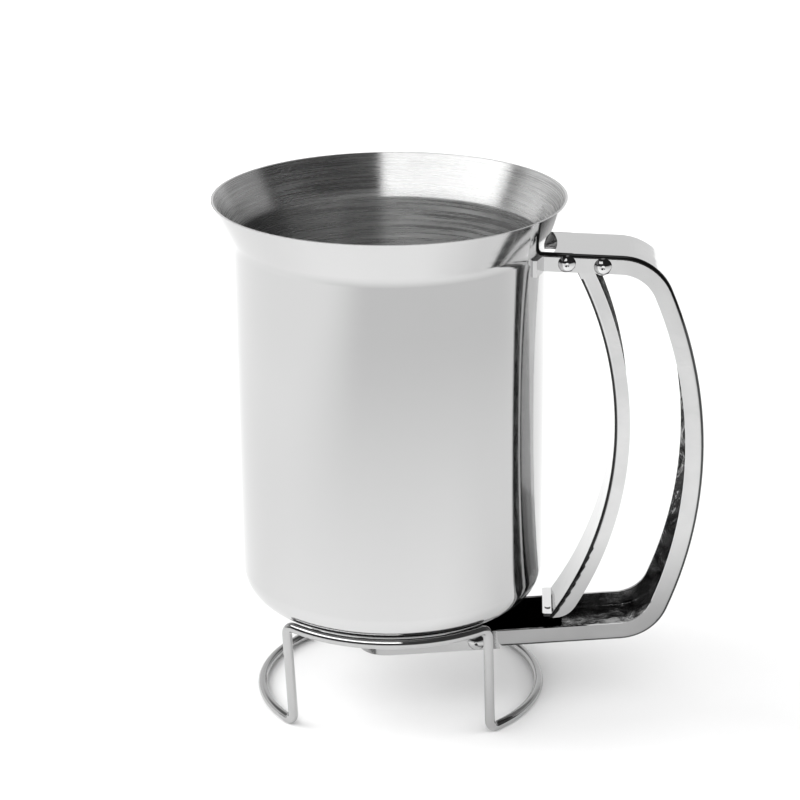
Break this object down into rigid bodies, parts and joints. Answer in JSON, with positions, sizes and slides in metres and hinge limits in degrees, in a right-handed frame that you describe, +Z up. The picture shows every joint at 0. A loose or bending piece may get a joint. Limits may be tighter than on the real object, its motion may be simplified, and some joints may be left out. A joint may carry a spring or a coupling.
{
  "type": "batter dispenser",
  "caption": "Steel batter dispenser: a flared cup with a sliding valve under its outlet, opened by a trigger inside a bow handle, standing on a loose bent wire stand.",
  "frame": {"origin": "centre of the outlet hole in the cup's floor, at the hole's upper edge", "axes": "+Z up along the cup's axis, +X from the cup to the handle, +Y to the left when looking along +X"},
  "size_m": [0.1467, 0.105, 0.162],
  "materials": {
    "cup_steel": "polished outside, finely turned inside",
    "handle_steel": "polished",
    "rivet_steel": "polished",
    "spring_steel": "drawn wire",
    "wire_steel": "polished wire"
  },
  "bodies": {
    "stand": {"wire_stand": "wire_steel"},
    "dispenser": {"cup_shell": "cup_steel", "outlet_collar": "cup_steel", "valve_bracket": "handle_steel", "slide_rail_front": "handle_steel", "slide_rail_back": "handle_steel", "guide_pin": "rivet_steel", "guide_sleeve": "rivet_steel", "handle_frame": "handle_steel", "pivot_pin": "rivet_steel", "pivot_spacer": "rivet_steel", "anchor_pin": "rivet_steel", "anchor_spacer": "rivet_steel", "return_spring": "spring_steel"},
    "trigger": {"trigger_lever": "handle_steel"},
    "slide": {"valve_slide": "handle_steel"}
  },
  "joints": [
    {"name": "lift_off", "type": "slide", "parent": "stand", "child": "dispenser", "axis": [0, 0, 1], "range_m": [0, 0.06]},
    {"name": "trigger_pivot", "type": "hinge", "parent": "dispenser", "child": "trigger", "pos_m": [0.0523, 0, 0.1147], "axis": [0, -1, 0], "range_deg": [0, 10.6], "stiffness_Nm_per_rad": 0.25, "springref_deg": -20.05, "deforming": ["return_spring"]},
    {"name": "valve_travel", "type": "slide", "parent": "dispenser", "child": "slide", "axis": [0.9962, 0, 0.0872], "range_m": [0, 0.022]}
  ],
  "couplings": [
    {"joint": "valve_travel", "follows": "trigger_pivot", "m_per_rad": 0.1185}
  ]
}
